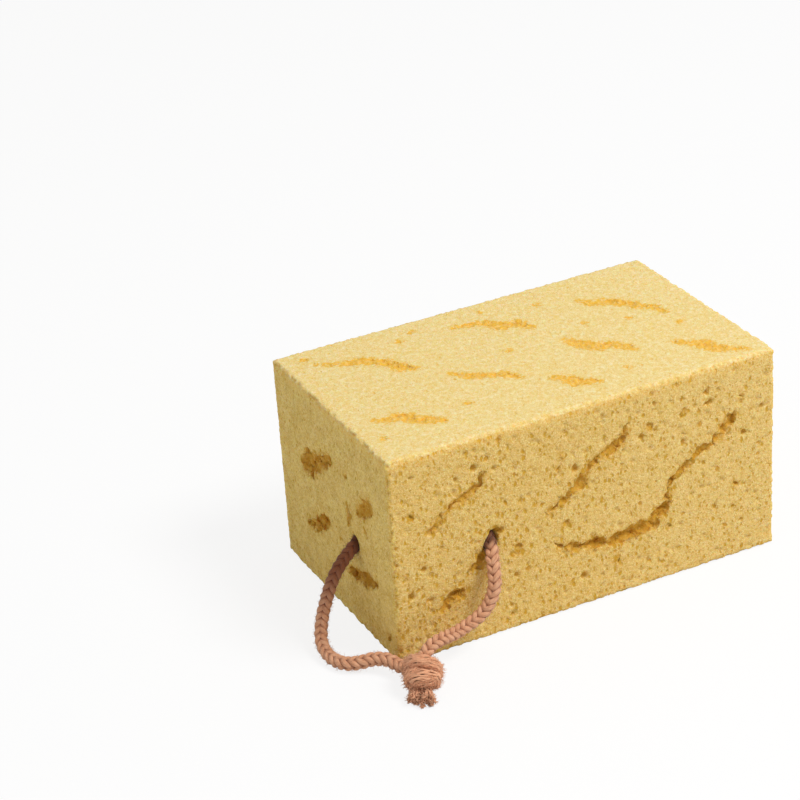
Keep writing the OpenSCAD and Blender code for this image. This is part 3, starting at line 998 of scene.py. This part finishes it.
class SPONGE_OT_cord(bpy.types.Operator):
    """Braids the cord from its knot through the foam and back to the knot"""
    bl_idname = "sponge.cord"
    bl_label = "Braided cord"

    def execute(self, context):
        need("knot" in bpy.data.objects, "The knot has to be tied before the cord is braided")
        cord = context.scene.sponge_cord
        material = cord_material("cord_cotton", cord, cord.body)
        for name, route in CORD_PARTS.items():
            line = smooth([on_route(p) for p in route], CORD_STEP)
            tubes = TubeMesh()
            braid(tubes, line, COTTON_D, cord)
            fibres = int(sweep_length(line) / MM * CORD_FIBRES)
            fuzz(tubes, line, COTTON_D * 0.45, fibres, CORD_FIBRE_R, random.Random(name))
            obj = tubes.build(name, material)
            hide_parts("cord_loop")
            if name == "cord_in_foam":
                continue
            sweep_length(line)
        return {"FINISHED"}


# The foam block

def modifier(obj, kind, **settings):
    """Adds one modifier to the object and applies it."""
    bpy.ops.object.select_all(action="DESELECT")
    bpy.context.view_layer.objects.active = obj
    obj.select_set(True)
    bpy.ops.object.modifier_add(type=kind)
    last = obj.modifiers[-1]
    for key, value in settings.items():
        setattr(last, key, value)
    applied = bpy.ops.object.modifier_apply(modifier=last.name)
    need(applied == {"FINISHED"}, f"The {kind} modifier wasn't applied")


def block_place(p):
    """How deep a point lies under the block's nearest face, how far it is from the next face, which axis
    the nearest face is square to, and its name."""
    gaps = []
    for axis in range(3):
        gaps.append((p[axis] - BLOCK_LOW[axis], axis, "_near"))
        gaps.append((BLOCK_HIGH[axis] - p[axis], axis, "_far"))
    gaps.sort()
    depth, axis, side = gaps[0]
    return depth, gaps[1][0], axis, ("end", "side", "flat")[axis] + side


def inward(p, far):
    """A step into the block from each of its faces that the point is close to."""
    step = Vector((0, 0, 0))
    for axis in range(3):
        if p[axis] - BLOCK_LOW[axis] < EDGE_BAND:
            step[axis] = far
        elif BLOCK_HIGH[axis] - p[axis] < EDGE_BAND:
            step[axis] = -far
    return step


def nearest_of(points):
    """A tree that finds the nearest of the points, and how far it is."""
    tree = kdtree.KDTree(len(points))
    for i, p in enumerate(points):
        tree.insert(p, i)
    tree.balance()
    return tree


def tear_open(mesh, foam):
    """Makes the plain rims of the tears ragged and opens cells in the faces, point by point."""
    route = FROM_KNOT[-2:] + [HOLE_A] + IN_FOAM + [HOLE_B] + TO_KNOT[:2]
    guard = nearest_of(smooth([on_route(p) for p in route], GUARD_STEP))
    places = [block_place(v.co) for v in mesh.vertices]
    tears = nearest_of([v.co for v, place in zip(mesh.vertices, places) if place[0] > TORN_DEPTH])
    moved, torn, dug = [], [], []
    for v, (depth, corner, axis, kind) in zip(mesh.vertices, places):
        p = v.co
        look = FACE_LOOKS[kind]
        # How freely the point may move, how far it is off its face, and how near a tear it is
        edge = clamp((corner - SKIN) / EDGE_SLOPE, EDGE_LEAST)
        share = edge * clamp((guard.find(p)[2] - GUARD_R) / GUARD_SLOPE)
        inside = clamp((depth - SKIN) / INSIDE_SLOPE)
        near = clamp(TORN_FADE - tears.find(p)[2] / TORN_REACH)
        # A tear's floor rises first, and its rim's wander and its cells are those of the risen point
        risen = p.copy()
        if depth < DEEPEST_TEAR:
            rise = depth * look.rise * share
            risen[axis] += rise if kind.endswith("far") else -rise
        shift = noise.noise_vector(risen / RIM_WAVE) * foam.ragged
        shift += noise.noise_vector(risen / RIM_RIPPLE) * (foam.ragged * RIPPLE_SHARE)
        shift[axis] *= inside
        slack = clamp(0.35 + 1.5 * noise.noise(p / WALL_WAVE), 0.1)
        back = foam.widen * slack * clamp(depth / WALL_DEPTH) * edge * (1 - look.rise)
        q = risen + shift * (share * near * look.ragged) - v.normal * back
        # For the colour: how near a tear the point lies and how far it is dug out, which painted shade
        # follows
        torn.append(near * share)
        dug.append(clamp(depth / DUG_DEPTH) * share)
        # Nicks in the block's edges
        chip = clamp(1 - corner / EDGE_BAND) * clamp(0.3 + 1.5 * noise.noise(p / NICK_WAVE))
        q += inward(p, chip * foam.edge_wear)
        # Cells all over, and the long front's most open ones
        size = foam.cell_size
        far, middles = noise.voronoi(risen / size)
        own = 0.5 + 0.5 * noise.cell(middles[0] * OWN_SPREAD)
        radius = size * (CELL_LEAST + CELL_MORE * own * own) * (look.cells + (1 - look.cells) * inside)
        bowl = radius * radius - (far[0] * size) ** 2
        if bowl > 0 and own > OPEN_FROM:
            q -= v.normal * (math.sqrt(bowl) * BOWL_DEPTH * share * (1 - look.rise * inside))
        if kind == "side_near" and depth < FRONT_DEPTH:
            for x, z, reach in FRONT_CELLS:
                hollow = reach * reach - (p.x - NEAR_CORNER.x - x) ** 2 - (p.z - z) ** 2
                if hollow > 0:
                    q.y += math.sqrt(hollow)
                    dug[-1] = max(dug[-1], math.sqrt(hollow) / reach)
        moved.extend((q.x, q.y, max(q.z, 0.0)))
    mesh.vertices.foreach_set("co", moved)
    for name, values in (("torn", torn), ("dug", dug)):
        mesh.attributes.new(name, "FLOAT", "POINT").data.foreach_set("value", values)
    mesh.update()


class SPONGE_OT_foam(bpy.types.Operator):
    """Models the foam's torn and open faces over the plain block"""
    bl_idname = "sponge.foam"
    bl_label = "Foam block"

    def execute(self, context):
        foam = context.scene.sponge_foam
        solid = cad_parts["sponge_block"]
        bpy.ops.object.select_all(action="DESELECT")
        obj = bpy.data.objects.new("foam", solid.data.copy())
        context.scene.collection.objects.link(obj)
        context.view_layer.objects.active = obj
        obj.select_set(True)
        bpy.ops.object.mode_set(mode="EDIT")
        bpy.ops.mesh.select_all(action="SELECT")
        bpy.ops.mesh.remove_doubles(threshold=1e-6)
        bpy.ops.object.mode_set(mode="OBJECT")
        modifier(obj, "REMESH", mode="VOXEL", voxel_size=foam.voxel, use_smooth_shade=True)
        need(obj.data.polygons, "The block has no faces after the remesh")
        same_noise()
        tear_open(obj.data, foam)
        now = sum(len(f.vertices) - 2 for f in obj.data.polygons)
        if now > foam.faces:
            modifier(obj, "DECIMATE", ratio=foam.faces / now)
        obj.data.polygons.foreach_set("use_smooth", [True] * len(obj.data.polygons))
        obj.data.materials.clear()
        obj.data.materials.append(foam_material(foam))
        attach(obj, "root")
        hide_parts("sponge_block")
        return {"FINISHED"}


# The panel, and the start

class SPONGE_PT_panel(bpy.types.Panel):
    """Lists the sponge's sizes, colours and pieces"""
    bl_idname = "SPONGE_PT_panel"
    bl_label = "Cleaning sponge"
    bl_space_type = "VIEW_3D"
    bl_region_type = "UI"
    bl_category = "Sponge"

    def draw(self, context):
        layout = self.layout
        for group in (context.scene.sponge_foam, context.scene.sponge_cord, context.scene.sponge_stage):
            box = layout.box()
            for key in group.bl_rna.properties.keys():
                if key not in ("rna_type", "name"):
                    box.prop(group, key)
        for step in STEPS:
            layout.operator(step.bl_idname)


STEPS = (SPONGE_OT_stage, SPONGE_OT_knot, SPONGE_OT_cord, SPONGE_OT_foam)
GROUPS = {"sponge_foam": SpongeFoam, "sponge_cord": SpongeCord, "sponge_stage": SpongeStage}
CLASSES = (*GROUPS.values(), *STEPS, SPONGE_PT_panel)


def register():
    for made in CLASSES:
        bpy.utils.register_class(made)
    for name, group in GROUPS.items():
        setattr(bpy.types.Scene, name, bpy.props.PointerProperty(type=group))


def unregister():
    for name in GROUPS:
        delattr(bpy.types.Scene, name)
    for made in reversed(CLASSES):
        bpy.utils.unregister_class(made)


def main():
    register()
    bpy.ops.sponge.stage()
    bpy.ops.sponge.knot()
    bpy.ops.sponge.cord()
    bpy.ops.sponge.foam()


if __name__ == "__main__":
    main()
